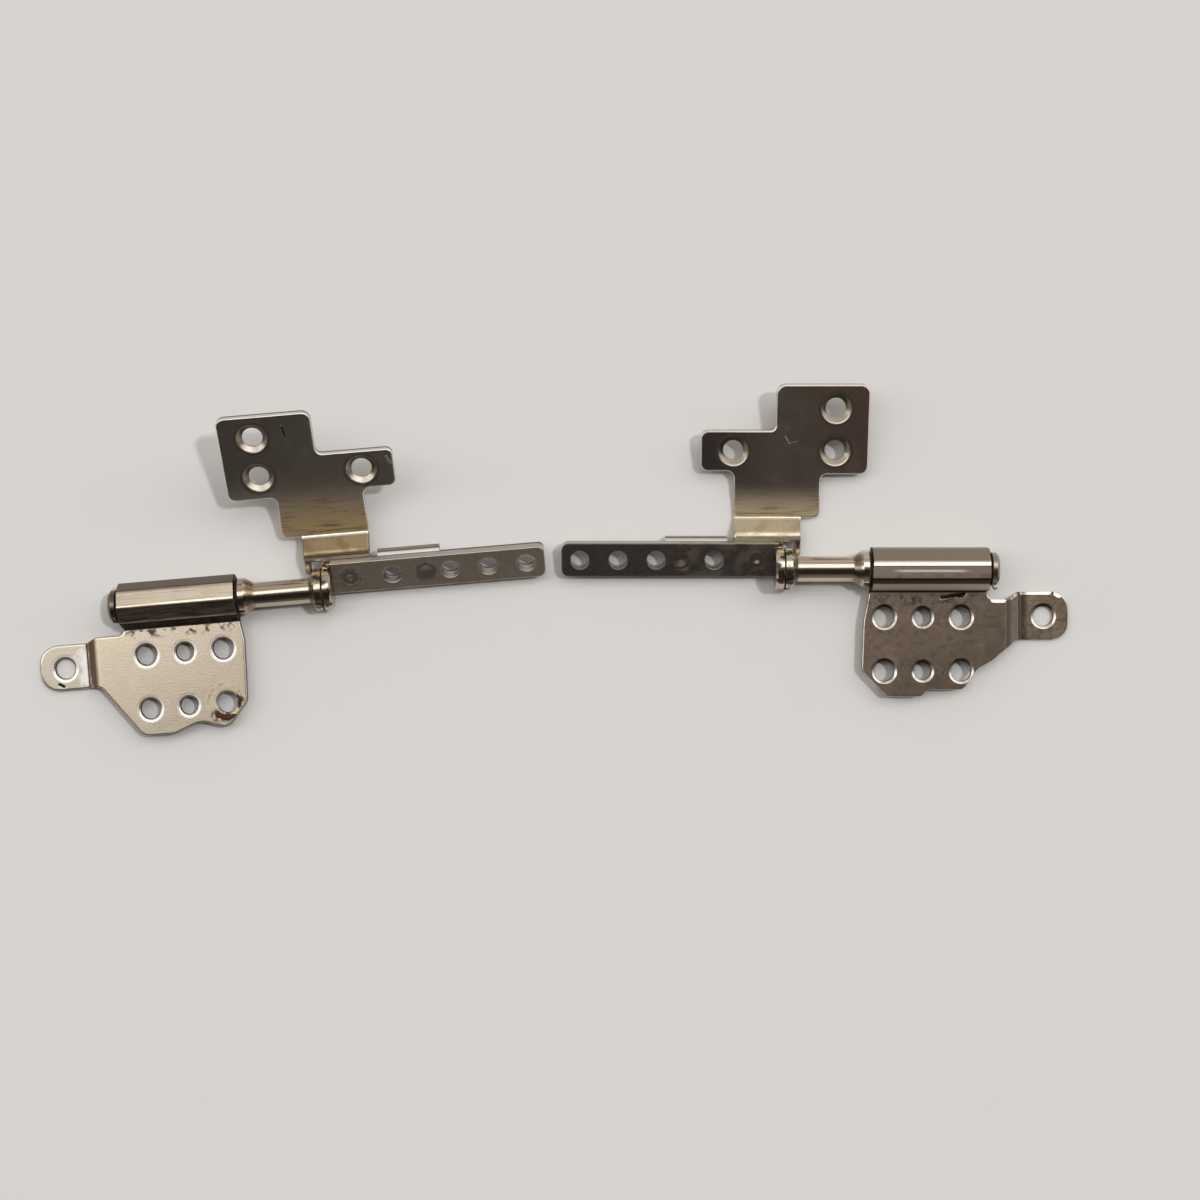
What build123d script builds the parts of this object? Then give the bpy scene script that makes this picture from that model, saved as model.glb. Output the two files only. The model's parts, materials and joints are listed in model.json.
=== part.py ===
from build123d import *
import os
from math import cos, hypot, radians, tan
from types import SimpleNamespace

# A pair of laptop hinges lying on a table: millimetres and degrees, Z up, the table at Z = 0.
# Each hinge is measured along its own axis. Distances "out" run from the inner end of the
# knuckle towards the mounting ear, so the arm lies at negative distances out.

# Base bracket: one stamped sheet with a rolled knuckle
BASE_SHEET = 0.8
KNUCKLE_LENGTH = 16.5
KNUCKLE_HALF_WIDTH = 3.05
KNUCKLE_SIDES = 8
KNUCKLE_CORNER = 0.9
KNUCKLE_END_EDGE = 0.1
SEAM_GAP = 0.3
PLATE_TOP_BELOW_AXIS = 0.85
ROOT_FILLET = 0.6
EAR_STEP_RUN = 1.7
EAR_BEND = 1.0
EAR_NECK_CORNER = 0.6
NOTCH_CORNER = 1.0

# Fixing holes of the base bracket
COLUMN_PITCH = 5.45
ROW_PITCH = 7.66
CORNER_HOLE = 2.85
MIDDLE_HOLE = 2.45
EAR_HOLE = 2.85

# Turned shaft with a peened nose and a flattened arm
JOURNAL_CLEARANCE = 0.05
COLLAR_GAP = 0.3
NOSE_DIAMETER = 4.7
NOSE_GROOVE = 0.45
NOSE_GROOVE_DIAMETER = 3.7
NOSE_LENGTH = 1.4
NOSE_EDGE = 0.35
COLLAR_DIAMETER = 5.1
COLLAR_LENGTH = 0.95
COLLAR_EDGE = 0.15
CONE_LENGTH = 1.25
NECK_DIAMETER = 3.6
NECK_LENGTH = 8.0
SHOULDER_DIAMETER = 4.8
SHOULDER_LENGTH = 0.5
FLANGE_DIAMETER = 6.0
FLANGE_LENGTH = 1.2
FLANGE_EDGE = 0.25
FLANGE_GROOVE = 0.2
GROOVE_DEPTH = 0.5
ARM_LENGTH = 30.2
ARM_WIDTH = 4.9
ARM_THICKNESS = 1.3
ARM_FRONT_BELOW_AXIS = 0.6
ARM_CENTRE_FROM_AXIS = 1.15
ARM_CORNER = 1.0
ARM_EDGE = 0.16
ARM_HOLE = 2.6
ARM_END_HOLE = 2.6
ARM_HOLE_PITCH = 5.4
ARM_INNER_HOLE = 21.6

# Lid bracket: one stamped sheet, stepped back from the arm to the lid plate
LID_SHEET = 0.9
LID_STEP_START = 4.3
LID_STEP_RUN = 1.9
LID_PLATE_BELOW_AXIS = 4.7
LID_BEND = 0.9
LID_LEAD = 2.5
LID_LEAD_SLOPE = 11.0
LID_LEAD_RADIUS = 20.0
LID_REACH = 25.5
LID_DEEP_BLOCK = 12.9
LID_WING_BACK = 6.6
LID_WING_FRONT = 12.4
LID_HOLE = 2.8
LID_SINK = 4.25
LID_SINK_ANGLE = 90
LID_SINK_LIP = 0.3
LID_FAR_HOLE = 3.4
LID_NEAR_HOLE = 9.5
STRIP_END = -9.85
STRIP_START = -19.3
STRIP_GAP = 0.35
TAB_NEAR = 1.3
TAB_GAP = 0.2
TAB_CORNER = 0.42
ARM_SHEET_INSET = 0.4
ARM_SHEET_CORNER = 0.8
ARM_SHEET_HOLE_EXTRA = 0.1
LIP_START = -29.1
LIP_END = -20.3
LIP_PROUD = 0.35
LIP_DEPTH = 1.45
LIP_BEND = 0.48
LIP_ROOT = 0.22
RELIEF_CORNER = 0.4

# Rivets through arm and lid bracket: set flush in front with a punched dish, low heads behind
INNER_RIVET_FROM_FLANGE = 2.6
OUTER_RIVET_FROM_END = 16.8
INNER_RIVET_HEAD = 2.2
OUTER_RIVET_HEAD = 2.7
INNER_RIVET_DISH = 1.1
OUTER_RIVET_DISH = 2.0
RIVET_DISH_DEPTH = 0.25
RIVET_SHANK_INSET = 0.4
RIVET_SINK_ANGLE = 90
RIVET_BACK_HEAD = 0.35
RIVET_BACK_EDGE = 0.2
RIVET_SET = 0.02

# Rounding that the punch leaves on the front edge of stamped sheet
RIGHT_PLATE_EDGE = 0.16
LEFT_PLATE_EDGE = 0.3
LID_EDGE = 0.26

# Outlines of the stamped sheets, as (out, away from the axis, corner radius)
RIGHT_PLATE = [
    (0.0, 2.6, 0.0), (-0.95, 7.5, 6.0), (-1.2, 14.3, 1.2), (2.4, 18.1, 0.9), (7.2, 18.1, 1.0),
    (8.2, 17.1, 1.0), (13.2, 17.1, 1.2), (15.2, 14.2, 1.2), (17.3, 13.0, 1.0), (20.8, 10.0, 0.8),
]
LEFT_PLATE = [
    (0.2, 2.6, 0.0), (-0.45, 6.2, 3.0), (-0.15, 14.9, 2.0), (2.9, 18.5, 1.4), (6.6, 17.2, 3.0),
    (10.5, 18.7, 1.6), (14.9, 18.7, 2.0), (20.4, 11.3, 0.8),
]
LID_OUTLINE = [
    (STRIP_END, 6.2, 0.5), (-7.1, 6.4, 0.9), (-7.1, LID_REACH - LID_DEEP_BLOCK, 1.0),
    (-0.4, LID_REACH - LID_DEEP_BLOCK, 1.1), (-0.4, LID_REACH, 1.3), (-13.5, LID_REACH, 1.3),
    (-13.5, LID_REACH - LID_WING_BACK, 0.9), (-24.06, LID_REACH - LID_WING_BACK, 1.0),
    (-24.06, LID_REACH - LID_WING_FRONT, 1.0), (STRIP_START, LID_REACH - LID_WING_FRONT, 1.2),
]
LID_HOLES = [
    (-5.1, LID_REACH - LID_FAR_HOLE), (-5.1, LID_REACH - LID_NEAR_HOLE),
    (-19.5, LID_REACH - LID_NEAR_HOLE),
]

# Ears, with their step, end and hole measured out from the end of the knuckle
RIGHT_EAR = SimpleNamespace(step=3.1, end=11.85, near=3.2, far=10.0, corner=2.4, hole=(8.3, 6.66))
LEFT_EAR = SimpleNamespace(step=4.1, end=12.65, near=4.8, far=11.3, corner=2.6, hole=(9.1, 8.2))
RIGHT_NOTCH = 4.25
LEFT_NOTCH = 4.1
RIGHT_FIRST_HOLE = (1.98, 6.8)
LEFT_FIRST_HOLE = (2.72, 7.16)

# Where each arm's free end lies on the table, and how far each lid leaf is tipped up
RIGHT_ARM_TIP = (-5.58, 4.39)
LEFT_ARM_TIP = (-7.83, 4.16)
RIGHT_TURN = 0.0
LEFT_TURN = 4.8
RIGHT_LEAF_TILT = 16.65
LEFT_LEAF_TILT = 31.5
RIGHT_KNUCKLE_TURN = -5.0
LEFT_KNUCKLE_TURN = 17.0

# How square to the front a face is, where it counts as a cut wall or as the front skin
WALL_FACING = 0.2
SKIN_FACING = 0.5
TOUCH = 0.001

# Sizes that follow from the ones above
BORE_RADIUS = KNUCKLE_HALF_WIDTH - BASE_SHEET
JOURNAL_RADIUS = BORE_RADIUS - JOURNAL_CLEARANCE
PLATE_MIDDLE = -PLATE_TOP_BELOW_AXIS - BASE_SHEET / 2
SEAM_TOP = SEAM_GAP - PLATE_TOP_BELOW_AXIS
COLLAR_END = -COLLAR_GAP - COLLAR_LENGTH
NECK_START = COLLAR_END - CONE_LENGTH
NECK_END = NECK_START - NECK_LENGTH
FLANGE_START = NECK_END - SHOULDER_LENGTH
GROOVE_START = FLANGE_START - FLANGE_LENGTH
GROOVE_END = GROOVE_START - FLANGE_GROOVE
FLANGE_FACE = GROOVE_END - FLANGE_LENGTH
ARM_END = FLANGE_FACE - ARM_LENGTH
ARM_BACK = -ARM_FRONT_BELOW_AXIS - ARM_THICKNESS
ARM_NEAR = ARM_CENTRE_FROM_AXIS - ARM_WIDTH / 2
ARM_FAR = ARM_CENTRE_FROM_AXIS + ARM_WIDTH / 2
ARM_HOLES = [
    ARM_END + ARM_END_HOLE, ARM_END + ARM_END_HOLE + ARM_HOLE_PITCH,
    ARM_END + ARM_END_HOLE + 2 * ARM_HOLE_PITCH, ARM_END + ARM_INNER_HOLE,
]
ARM_SHEET_MIDDLE = ARM_BACK - LID_SHEET / 2
LID_PLATE_MIDDLE = -LID_PLATE_BELOW_AXIS - LID_SHEET / 2
LID_LEAD_RISE = LID_LEAD * tan(radians(LID_LEAD_SLOPE))
RIVETS = {
    "inner_rivet": (FLANGE_FACE - INNER_RIVET_FROM_FLANGE, INNER_RIVET_HEAD / 2, INNER_RIVET_DISH / 2),
    "outer_rivet": (ARM_END + OUTER_RIVET_FROM_END, OUTER_RIVET_HEAD / 2, OUTER_RIVET_DISH / 2),
}


def knuckle_reach(turn):
    """How far the rounded octagon reaches below the axis when its flats are turned."""
    half_side = 180 / KNUCKLE_SIDES
    vertex = (KNUCKLE_HALF_WIDTH - KNUCKLE_CORNER) / cos(radians(half_side))
    return vertex * cos(radians(half_side - abs(turn))) + KNUCKLE_CORNER


def hinge(side, tip, turn, tilt, knuckle_turn, plate, plate_edge, notch, ear, first_hole):
    """One hinge's places: side is 1 where out points along +X, and -1 where it points back."""
    height = knuckle_reach(knuckle_turn)
    at_tip = Plane(origin=(*tip, height)).rotated((0, 0, turn))
    middle = at_tip.from_local_coords((-side * ARM_END, 0, 0))
    flat = Plane(origin=middle, x_dir=at_tip.x_dir, z_dir=at_tip.z_dir)
    leaf_up = flat.z_dir.rotate(Axis((0, 0, 0), flat.x_dir), tilt)
    leaf = Plane(origin=flat.origin, x_dir=flat.x_dir, z_dir=leaf_up)
    return SimpleNamespace(
        side=side, height=height, flat=flat, leaf=leaf, plate=plate, plate_edge=plate_edge,
        knuckle_turn=knuckle_turn, notch=notch, ear=ear, first_hole=first_hole,
    )


def across(plane):
    """The plane square to the hinge axis, its x towards the lid and its y up from the plane."""
    return Plane(origin=plane.origin, x_dir=plane.y_dir, z_dir=plane.x_dir)


def along(plane):
    """The upright plane through the hinge axis, facing the base plate."""
    return Plane(origin=plane.origin, x_dir=plane.x_dir, z_dir=-plane.y_dir)


def outline(side, corners, away):
    """A closed line through corners measured out and away from the axis."""
    points = [(side * out, away * reach) for out, reach, _ in corners]
    FilletPolyline(*points, radius=[radius for _, _, radius in corners], close=True)


def front_rim(shape, normal):
    """Edges where a skin that faces along the normal meets the cut walls round it."""
    owners = {}
    for face in shape.faces():
        for edge in face.edges():
            owners.setdefault(edge, []).append(face)
    rim = []
    for edge, faces in owners.items():
        middle = edge.position_at(0.5)
        facing = sorted(face.normal_at(middle).dot(normal) for face in faces)
        if len(facing) == 2 and abs(facing[0]) < WALL_FACING and facing[1] > SKIN_FACING:
            rim.append(edge)
    return rim


def knuckle_ends(part, h):
    """The outer edges at both ends of the knuckle, above the seam."""
    ends = []
    for edge in part.edges():
        spot = h.flat.to_local_coords(edge.position_at(0.5))
        from_end = min(abs(spot.X), abs(spot.X - h.side * KNUCKLE_LENGTH))
        if from_end < TOUCH and spot.Z > SEAM_TOP and hypot(spot.Y, spot.Z) > BORE_RADIUS + BASE_SHEET / 2:
            ends.append(edge)
    return ends


def base_bracket(h):
    """A plate with six holes, an ear set down to the table, and a knuckle rolled over the shaft."""
    ear = h.ear
    ear_middle = BASE_SHEET / 2 - h.height
    step = KNUCKLE_LENGTH + ear.step
    ear_end = KNUCKLE_LENGTH + ear.end
    ear_hole = (h.side * (KNUCKLE_LENGTH + ear.hole[0]), -ear.hole[1])
    corners = h.plate + [
        (ear_end, ear.far, ear.corner), (ear_end, ear.near, ear.corner),
        (step + EAR_STEP_RUN, ear.near, EAR_NECK_CORNER), (step, h.notch, EAR_NECK_CORNER),
        (KNUCKLE_LENGTH, h.notch, NOTCH_CORNER), (KNUCKLE_LENGTH, h.plate[0][1], 0),
    ]
    plate_depth = max(reach for _, reach, _ in corners) + BASE_SHEET
    hole_out, hole_away = h.first_hole
    grid_centre = (h.side * (hole_out + COLUMN_PITCH), -hole_away - ROW_PITCH / 2)
    with BuildPart() as bracket:
        with BuildSketch(along(h.flat)):
            with BuildLine():
                step_line = FilletPolyline(
                    (h.side * (corners[2][0] - BASE_SHEET), PLATE_MIDDLE),
                    (h.side * step, PLATE_MIDDLE),
                    (h.side * (step + EAR_STEP_RUN), ear_middle),
                    (h.side * (ear_end + BASE_SHEET), ear_middle),
                    radius=EAR_BEND,
                )
            trace(step_line, line_width=BASE_SHEET)
        extrude(amount=plate_depth)
        with BuildSketch(h.flat):
            with BuildLine():
                outline(h.side, corners, away=-1)
            make_face()
        extrude(amount=h.height, both=True, mode=Mode.INTERSECT)
        with BuildSketch(h.flat):
            with Locations(grid_centre):
                with GridLocations(2 * COLUMN_PITCH, ROW_PITCH, 2, 2):
                    Circle(CORNER_HOLE / 2)
                with GridLocations(COLUMN_PITCH, ROW_PITCH, 1, 2):
                    Circle(MIDDLE_HOLE / 2)
            with Locations(ear_hole):
                Circle(EAR_HOLE / 2)
        extrude(amount=-h.height, mode=Mode.SUBTRACT)
        fillet(front_rim(bracket.part, h.flat.z_dir), h.plate_edge)
        with BuildSketch(across(h.flat)) as roll:
            RegularPolygon(
                KNUCKLE_HALF_WIDTH, KNUCKLE_SIDES, major_radius=False,
                rotation=180 / KNUCKLE_SIDES - h.knuckle_turn,
            )
            fillet(roll.vertices(), KNUCKLE_CORNER)
            root_x = -KNUCKLE_HALF_WIDTH - ROOT_FILLET
            with Locations((root_x / 2, PLATE_MIDDLE)):
                Rectangle(-root_x, BASE_SHEET)
            Circle(BORE_RADIUS, mode=Mode.SUBTRACT)
            with Locations((root_x, -PLATE_TOP_BELOW_AXIS)):
                Rectangle(-root_x, SEAM_GAP, align=(Align.MIN, Align.MIN), mode=Mode.SUBTRACT)
        extrude(amount=h.side * KNUCKLE_LENGTH)
        fillet(knuckle_ends(bracket.part, h), KNUCKLE_END_EDGE)
    return bracket.part


def hinge_shaft(h):
    """One turned piece: nose, journal, collar, neck and two flanges, with one end beaten to a flat arm."""
    nose_end = KNUCKLE_LENGTH + NOSE_LENGTH
    nose_start = KNUCKLE_LENGTH + NOSE_GROOVE
    nose = NOSE_DIAMETER / 2
    collar = COLLAR_DIAMETER / 2
    flange = FLANGE_DIAMETER / 2
    profile = [
        (nose_end, 0), (nose_end, nose - NOSE_EDGE), (nose_end - NOSE_EDGE, nose), (nose_start, nose),
        (nose_start, NOSE_GROOVE_DIAMETER / 2), (KNUCKLE_LENGTH, NOSE_GROOVE_DIAMETER / 2),
        (KNUCKLE_LENGTH, JOURNAL_RADIUS), (-COLLAR_GAP, JOURNAL_RADIUS),
        (-COLLAR_GAP, collar - COLLAR_EDGE), (-COLLAR_GAP - COLLAR_EDGE, collar), (COLLAR_END, collar),
        (NECK_START, NECK_DIAMETER / 2), (NECK_END, NECK_DIAMETER / 2),
        (FLANGE_START, SHOULDER_DIAMETER / 2), (FLANGE_START, flange - FLANGE_EDGE),
        (FLANGE_START - FLANGE_EDGE, flange), (GROOVE_START, flange),
        (GROOVE_START, flange - GROOVE_DEPTH), (GROOVE_END, flange - GROOVE_DEPTH),
        (GROOVE_END, flange), (FLANGE_FACE + FLANGE_EDGE, flange),
        (FLANGE_FACE, flange - FLANGE_EDGE), (FLANGE_FACE, 0),
    ]
    arm_middle = (h.side * (ARM_END + GROOVE_END) / 2, ARM_CENTRE_FROM_AXIS)
    with BuildPart() as shaft:
        with BuildSketch(h.leaf.offset(-ARM_FRONT_BELOW_AXIS)):
            with Locations(arm_middle):
                Rectangle(GROOVE_END - ARM_END, ARM_WIDTH)
            for out in ARM_HOLES:
                with Locations((h.side * out, ARM_CENTRE_FROM_AXIS)):
                    Circle(ARM_HOLE / 2, mode=Mode.SUBTRACT)
        extrude(amount=-ARM_THICKNESS)
        free_end = shaft.edges().filter_by(Axis(h.leaf.origin, h.leaf.z_dir)).filter_by(GeomType.LINE)
        fillet(free_end.sort_by(Axis(h.leaf.origin, h.leaf.x_dir * h.side))[:2], ARM_CORNER)
        fillet(front_rim(shaft.part, h.leaf.z_dir), ARM_EDGE)
        front = h.leaf.offset(-ARM_FRONT_BELOW_AXIS)
        for out, head, _ in RIVETS.values():
            with Locations(front * Pos(h.side * out, ARM_CENTRE_FROM_AXIS, 0)):
                CounterSinkHole(head - RIVET_SHANK_INSET, head, counter_sink_angle=RIVET_SINK_ANGLE)
        with BuildSketch(h.leaf):
            with BuildLine():
                Polyline(*[(h.side * out, radius) for out, radius in profile], close=True)
            make_face()
        revolve(axis=Axis(h.leaf.origin, h.leaf.x_dir))
    return shaft.part


def lid_bracket(h):
    """One stamped sheet: an arm behind the shaft's arm, a step back, and the plate screwed to the lid."""
    sheet_far = ARM_FAR - ARM_SHEET_INSET
    sheet_near = ARM_NEAR + ARM_SHEET_INSET
    strip_near = FLANGE_DIAMETER / 2 + STRIP_GAP
    sheet_end = FLANGE_FACE - STRIP_GAP
    tab_side = FLANGE_START + TAB_GAP
    corners = LID_OUTLINE + [
        (STRIP_START, sheet_far, RELIEF_CORNER), (ARM_END, sheet_far, ARM_SHEET_CORNER),
        (ARM_END, sheet_near, ARM_SHEET_CORNER), (sheet_end, sheet_near, ARM_SHEET_CORNER),
        (sheet_end, strip_near, RELIEF_CORNER), (tab_side, strip_near, RELIEF_CORNER),
        (tab_side, TAB_NEAR, TAB_CORNER), (STRIP_END, TAB_NEAR, TAB_CORNER),
    ]
    bend_end = LID_STEP_START + LID_STEP_RUN
    lip_middle = ARM_FAR + LIP_PROUD - LID_SHEET / 2
    reach = LID_REACH + LID_SHEET
    with BuildPart() as bracket:
        with BuildSketch(across(h.leaf)):
            with BuildLine():
                step_line = FilletPolyline(
                    (sheet_near - LID_SHEET, ARM_SHEET_MIDDLE), (LID_STEP_START, ARM_SHEET_MIDDLE),
                    (bend_end, LID_PLATE_MIDDLE + LID_LEAD_RISE), (bend_end + LID_LEAD, LID_PLATE_MIDDLE),
                    (reach, LID_PLATE_MIDDLE), radius=[LID_BEND, LID_BEND, LID_LEAD_RADIUS],
                )
            trace(step_line, line_width=LID_SHEET)
        extrude(amount=h.side * (ARM_END - LID_SHEET))
        with BuildSketch(h.leaf):
            with BuildLine():
                outline(h.side, corners, away=1)
            make_face()
        extrude(amount=-reach, mode=Mode.INTERSECT)
        with BuildSketch(h.leaf):
            for out in ARM_HOLES:
                with Locations((h.side * out, ARM_CENTRE_FROM_AXIS)):
                    Circle(ARM_HOLE / 2 + ARM_SHEET_HOLE_EXTRA)
            for out, head, _ in RIVETS.values():
                with Locations((h.side * out, ARM_CENTRE_FROM_AXIS)):
                    Circle(head - RIVET_SHANK_INSET)
        extrude(amount=-reach, mode=Mode.SUBTRACT)
        plate_front = h.leaf.offset(-LID_PLATE_BELOW_AXIS)
        for out, away in LID_HOLES:
            with Locations(plate_front * Pos(h.side * out, away, 0)):
                CounterSinkHole(LID_HOLE / 2, LID_SINK / 2, counter_sink_angle=LID_SINK_ANGLE)
        round_edges = bracket.edges().filter_by(GeomType.CIRCLE)
        sink_rims = round_edges.filter_by(lambda edge: abs(edge.radius - LID_SINK / 2) < TOUCH)
        fillet(sink_rims, LID_SINK_LIP)
        fillet(front_rim(bracket.part, h.leaf.z_dir), LID_EDGE)
        with BuildSketch(across(h.leaf).offset(h.side * LIP_START)):
            with BuildLine():
                lip_line = FilletPolyline(
                    (sheet_far - LIP_ROOT, ARM_SHEET_MIDDLE), (lip_middle, ARM_SHEET_MIDDLE),
                    (lip_middle, ARM_BACK - LIP_DEPTH), radius=LIP_BEND,
                )
            trace(lip_line, line_width=LID_SHEET)
        extrude(amount=h.side * (LIP_END - LIP_START))
    return bracket.part


def arm_rivet(h, out, head, dish):
    """A rivet set flush into the front of the arm, with a punched dish and a low head behind."""
    centre = h.leaf.from_local_coords((h.side * out, ARM_CENTRE_FROM_AXIS, 0))
    section = Plane(origin=centre, x_dir=h.leaf.x_dir, z_dir=-h.leaf.y_dir)
    front = -ARM_FRONT_BELOW_AXIS
    rim = head - RIVET_SET
    shank = rim - RIVET_SHANK_INSET
    seat = ARM_BACK - LID_SHEET - RIVET_SET
    back = seat - RIVET_BACK_HEAD
    with BuildPart() as rivet:
        with BuildSketch(section):
            with BuildLine():
                Polyline(
                    (0, front - RIVET_DISH_DEPTH), (dish, front), (rim, front),
                    (shank, front - RIVET_SHANK_INSET), (shank, seat), (head, seat),
                    (head, seat - RIVET_BACK_EDGE), (head - RIVET_BACK_EDGE, back), (0, back), close=True,
                )
            make_face()
        revolve(axis=Axis(centre, h.leaf.z_dir))
    return rivet.part


hinges = {
    "left": hinge(
        -1, LEFT_ARM_TIP, LEFT_TURN, LEFT_LEAF_TILT, LEFT_KNUCKLE_TURN, LEFT_PLATE, LEFT_PLATE_EDGE,
        LEFT_NOTCH, LEFT_EAR, LEFT_FIRST_HOLE,
    ),
    "right": hinge(
        1, RIGHT_ARM_TIP, RIGHT_TURN, RIGHT_LEAF_TILT, RIGHT_KNUCKLE_TURN, RIGHT_PLATE, RIGHT_PLATE_EDGE,
        RIGHT_NOTCH, RIGHT_EAR, RIGHT_FIRST_HOLE,
    ),
}
pieces = {}
for hand, h in hinges.items():
    pieces[f"{hand}_base_bracket"] = base_bracket(h)
    pieces[f"{hand}_hinge_shaft"] = hinge_shaft(h)
    pieces[f"{hand}_lid_bracket"] = lid_bracket(h)
    for rivet, (out, head, dish) in RIVETS.items():
        pieces[f"{hand}_{rivet}"] = arm_rivet(h, out, head, dish)

# The pair's origin is the middle of its box, on the table
box = Compound(list(pieces.values())).bounding_box()
to_origin = Location((-box.center().X, -box.center().Y, -box.min.Z))
os.makedirs("parts", exist_ok=True)
for name, piece in pieces.items():
    placed = piece.moved(to_origin)
    placed.label = name
    export_step(placed, f"parts/{name}.step")
print("moved to the origin by", to_origin.position)
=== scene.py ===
# %% [markdown]
# A pair of worn laptop hinges lies on a pale table. Each hinge is a stamped base bracket whose edge is
# rolled into a knuckle, a turned shaft that ends in a flat arm, and a stepped lid bracket riveted to
# that arm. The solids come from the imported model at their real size, so this lesson is about what
# makes them look like plated, handled steel: the light that metal mirrors, the plating and its wear.

import json
import math

import bpy
import numpy as np
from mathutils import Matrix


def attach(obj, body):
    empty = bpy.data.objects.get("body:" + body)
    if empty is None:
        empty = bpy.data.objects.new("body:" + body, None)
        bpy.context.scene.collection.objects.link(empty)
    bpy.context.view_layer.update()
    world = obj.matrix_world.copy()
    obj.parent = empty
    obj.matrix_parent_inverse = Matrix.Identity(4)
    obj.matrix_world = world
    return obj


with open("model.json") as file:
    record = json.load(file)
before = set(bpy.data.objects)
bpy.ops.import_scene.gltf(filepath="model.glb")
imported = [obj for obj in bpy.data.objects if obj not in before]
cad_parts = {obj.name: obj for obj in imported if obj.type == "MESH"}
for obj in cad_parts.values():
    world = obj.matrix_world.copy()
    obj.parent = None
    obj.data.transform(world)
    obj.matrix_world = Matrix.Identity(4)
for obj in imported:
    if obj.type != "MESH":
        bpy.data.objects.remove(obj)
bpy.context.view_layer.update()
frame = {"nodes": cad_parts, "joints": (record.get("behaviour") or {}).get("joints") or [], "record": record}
nodes = frame["nodes"]
print("nodes:", ", ".join(sorted(nodes)))

# %% [markdown]
# Every mark on a hinge is easiest to place in that hinge's own measures: millimetres out along the
# axis from the inner end of the knuckle, away from the axis, and up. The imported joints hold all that
# is needed. A joint's place and axis give the base bracket's measures, and its lower limit, where the
# lid lies flat, tells how far the lid leaf is tipped up now.

# %% The two hinges' own measures
MM = 0.001
SIDES = {"left": -1, "right": 1}
joints = {joint["name"].split("_")[0]: joint for joint in frame["joints"]}


def hinge_measures(hand, part):
    """Place, turn and scale that take the pair's metres to a hinge's millimetres out, away and up."""
    joint = joints[hand]
    yaw = math.atan2(joint["axis"][1], joint["axis"][0])
    tilt = -math.radians(joint["range_deg"][0]) if part == "leaf" else 0.0
    return joint["pos_m"], (tilt, 0.0, yaw), (SIDES[hand] * MM, MM, MM)


def leaf_turn(hand, part):
    """The matrix that turns a hinge's own directions into the pair's: first the tip, then the turn."""
    _, (tilt, _, yaw), _ = hinge_measures(hand, part)
    tip = np.array([[1, 0, 0], [0, math.cos(tilt), -math.sin(tilt)], [0, math.sin(tilt), math.cos(tilt)]])
    turn = np.array([[math.cos(yaw), -math.sin(yaw), 0], [math.sin(yaw), math.cos(yaw), 0], [0, 0, 1]])
    return turn @ tip


def to_pair(hand, part, points):
    """Points in a hinge's millimetres, as metres in the pair's frame: scale, turn, then move."""
    place, _, scale = hinge_measures(hand, part)
    return (np.asarray(points, float) * scale) @ leaf_turn(hand, part).T + np.array(place)


def to_hinge(hand, part, points):
    """Points of the pair in a hinge's millimetres: the way of to_pair, backwards."""
    place, _, scale = hinge_measures(hand, part)
    return ((np.asarray(points, float) - np.array(place)) @ leaf_turn(hand, part)) / np.array(scale)


for hand in SIDES:
    print(hand, "axis at", [round(x / MM, 2) for x in joints[hand]["pos_m"]], "mm")

# %% [markdown]
# Much of the wear sits around the holes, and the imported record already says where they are. A mount
# holds the middle of a group of holes and their spacing, so each group is spread out again here.

# %% Where the holes are
mounts = {mount["name"]: mount for mount in frame["record"]["mounts"]}
column_pitch = mounts["right_base_corners"]["dims"]["spacing_x_mm"] / 2


def mount_middle(hand, part, name):
    """The middle of a mount as millimetres out and away."""
    return to_hinge(hand, part, mounts[f"{hand}_{name}"]["pos_m"])[:2]


def hole_places(hand):
    """Places of the holes in a hinge's base bracket and lid plate, as pairs of out and away."""
    row = np.array([0.0, mounts[f"{hand}_base_middle_pair"]["dims"]["pcd_mm"] / 2])
    column = np.array([column_pitch, 0.0])
    middle = mount_middle(hand, "base", "base_middle_pair")
    base = [middle + i * column + j * row for i in (-1, 0, 1) for j in (-1, 1)]
    base.append(mount_middle(hand, "base", "ear_hole"))
    side = mount_middle(hand, "leaf", "lid_side_pair")
    half = np.array([0.0, mounts[f"{hand}_lid_side_pair"]["dims"]["pcd_mm"] / 2])
    lid = [side + half, side - half, 2 * mount_middle(hand, "leaf", "lid_row_pair") - (side - half)]
    return [tuple(map(float, hole)) for hole in base], [tuple(map(float, hole)) for hole in lid]


base_holes, lid_holes = {}, {}
for hand in SIDES:
    base_holes[hand], lid_holes[hand] = hole_places(hand)
    print(hand, len(base_holes[hand]), "base holes,", len(lid_holes[hand]), "lid holes")

# %% [markdown]
# The picture was taken from straight above. The holes give its scale, 7 pixels to the millimetre, and
# the way the raised plates lean outwards gives the height of the lens: about 2200 pixels. One point
# known on both sides, the inner end of the right knuckle, fixes where the camera stands.

# %% Camera
PICTURE = 1200
PIXELS_PER_MM = 7.0
LENS_HEIGHT_PIXELS = 2200
RIGHT_KNUCKLE_PIXEL = (868.4, 569.3)
SENSOR = 36.0

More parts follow.
